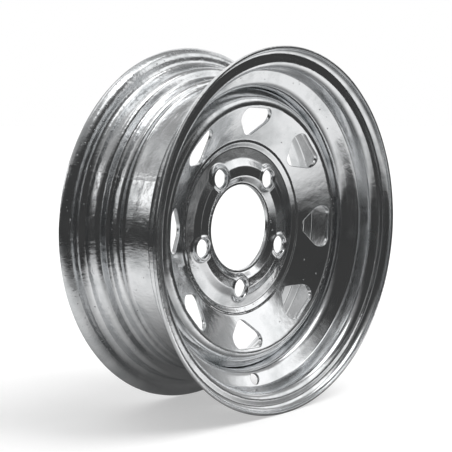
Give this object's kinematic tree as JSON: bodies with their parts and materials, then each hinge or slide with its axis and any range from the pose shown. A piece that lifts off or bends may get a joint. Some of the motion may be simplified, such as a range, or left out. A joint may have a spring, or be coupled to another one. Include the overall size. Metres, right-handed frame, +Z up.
{
  "type": "steel wheel rim",
  "caption": "Galvanised pressed steel trailer wheel: rolled drop-centre rim with J flanges and a valve hole, welded to a dished windowed disc with coned lug seats and a hub bore.",
  "frame": {"origin": "centre of the face that bears on the hub, on the wheel's axis and on the rim's middle plane", "axes": "+Y along the axle towards the vehicle, -Y out of the wheel's outer face, +Z up as the wheel stands in use"},
  "size_m": [0.3386, 0.1218, 0.3386],
  "materials": {
    "rim_zinc": "hot-dip galvanised, bright, lightly streaked",
    "disc_zinc": "hot-dip galvanised, bright, lightly streaked",
    "weld_zinc": "hot-dip galvanised over a rippled weld bead"
  },
  "bodies": {
    "root": {"rim_barrel": "rim_zinc", "centre_disc": "disc_zinc", "weld_beads": "weld_zinc"}
  },
  "joints": []
}
